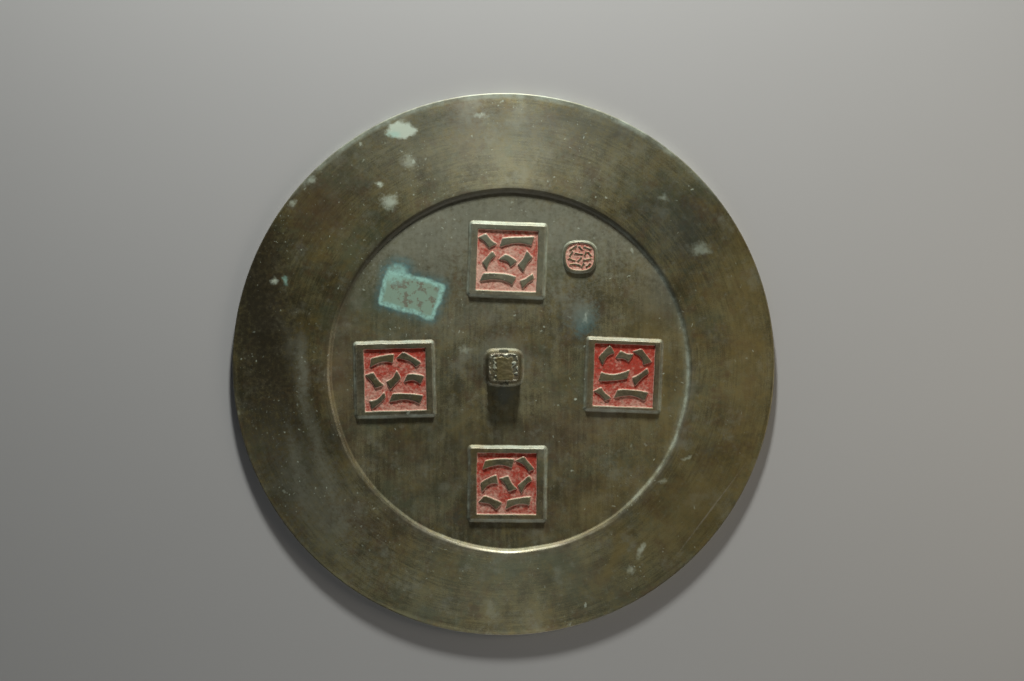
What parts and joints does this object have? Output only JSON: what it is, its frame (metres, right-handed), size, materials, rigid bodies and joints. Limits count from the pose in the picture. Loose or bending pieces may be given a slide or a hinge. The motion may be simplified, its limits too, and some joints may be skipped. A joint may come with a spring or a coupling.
{
  "type": "bronze mirror",
  "caption": "Large round cast bronze mirror with a wide plain band, a sunken field, framed panels of raised strokes, a small seal and a pierced square knob.",
  "frame": {"origin": "centre of the flat reflecting face, which lies underneath", "axes": "+Z out of the decorated back, +Y towards the top panel, +X towards the right-hand panel"},
  "size_m": [0.36, 0.36, 0.0158],
  "materials": {
    "patinated_bronze": "worn olive brown patina with turquoise corrosion",
    "red_pigment": "matte worn vermilion pigment in the sunken grounds"
  },
  "bodies": {
    "root": {"bronze_mirror": "patinated_bronze"}
  },
  "joints": []
}
